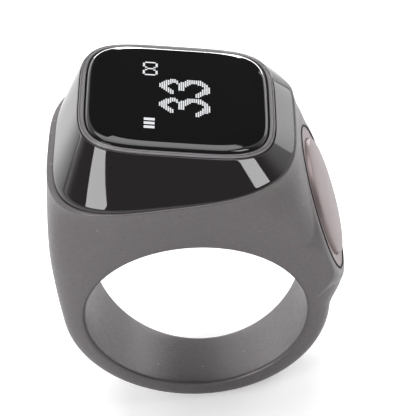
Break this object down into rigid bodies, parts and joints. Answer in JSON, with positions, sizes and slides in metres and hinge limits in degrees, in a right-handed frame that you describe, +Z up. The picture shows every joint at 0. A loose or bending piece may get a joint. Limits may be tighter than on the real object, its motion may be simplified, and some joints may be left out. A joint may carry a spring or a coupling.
{
  "type": "digital finger counter",
  "caption": "Digital tally counter worn on a finger: a wide ring with a tilted square display on its glossy head and a round push button on its shoulder.",
  "frame": {"origin": "centre of the finger bore, midway along it", "axes": "+Y along the finger bore, away from the pictured front; +Z up through the head, square to the seam between ring and cover; +X towards the push button"},
  "size_m": [0.0259, 0.0228, 0.0336],
  "materials": {
    "ring_metal": "bead-blasted, anodised matte grey",
    "cover_plastic": "gloss black",
    "bezel_metal": "satin grey",
    "dark_glass": "polished, black behind",
    "button_metal": "satin, mauve grey",
    "silicone": "matte",
    "foam": "open foam, matte",
    "clear_adhesive": "clear",
    "panel_glass": "polished",
    "film": "amber film",
    "white_plastic": "moulded, matte",
    "board": "green solder mask",
    "chip_black": "moulded, matte",
    "ceramic": "white ceramic",
    "pouch": "laminated foil",
    "steel": "bright",
    "dense_metal": "sintered",
    "gold_plate": "gold plated",
    "red_wire": "insulated",
    "black_wire": "insulated"
  },
  "bodies": {
    "ring": {"ring_body": "ring_metal", "signet_cover": "cover_plastic", "seam_gasket": "silicone", "display_bezel": "bezel_metal", "display_glass": "dark_glass", "glass_gasket": "foam", "optical_adhesive": "clear_adhesive", "oled_panel": "panel_glass", "oled_flex": "film", "inner_frame": "white_plastic", "main_board": "board", "board_screw_1": "steel", "board_screw_2": "steel", "board_screw_3": "steel", "board_screw_4": "steel", "controller_chip": "chip_black", "charger_chip": "chip_black", "crystal": "steel", "inductor": "chip_black", "chip_antenna": "ceramic", "flex_connector": "white_plastic", "battery": "pouch", "battery_tape": "foam", "battery_foam": "foam", "battery_lead_1": "red_wire", "battery_lead_2": "black_wire", "motor_can": "steel", "motor_cradle": "silicone", "contact_block": "chip_black", "charge_pin_1": "gold_plate", "charge_pin_2": "gold_plate", "magnet_1": "steel", "magnet_2": "steel", "charge_flex": "film", "stem_ring": "silicone", "button_seal": "silicone", "switch_case": "chip_black", "switch_board": "board", "switch_bracket": "white_plastic", "switch_flex": "film"},
    "button": {"button_cap": "button_metal", "stem_clip": "steel"},
    "plunger": {"switch_plunger": "white_plastic"},
    "rotor": {"motor_shaft": "steel", "motor_weight": "dense_metal"}
  },
  "joints": [
    {"name": "button_press", "type": "slide", "parent": "ring", "child": "button", "axis": [-0.9863, 0, -0.165], "range_m": [0, 0.0003], "stiffness_N_per_m": 300, "springref_m": -0.0005},
    {"name": "plunger_press", "type": "slide", "parent": "ring", "child": "plunger", "axis": [-0.9863, 0, -0.165], "range_m": [0, 0.00035]},
    {"name": "motor_spin", "type": "hinge", "parent": "ring", "child": "rotor", "pos_m": [-0.00675, 0, 0.0109], "axis": [0, 1, 0], "continuous": true}
  ],
  "couplings": [
    {"joint": "plunger_press", "follows": "button_press", "ratio": 1}
  ]
}
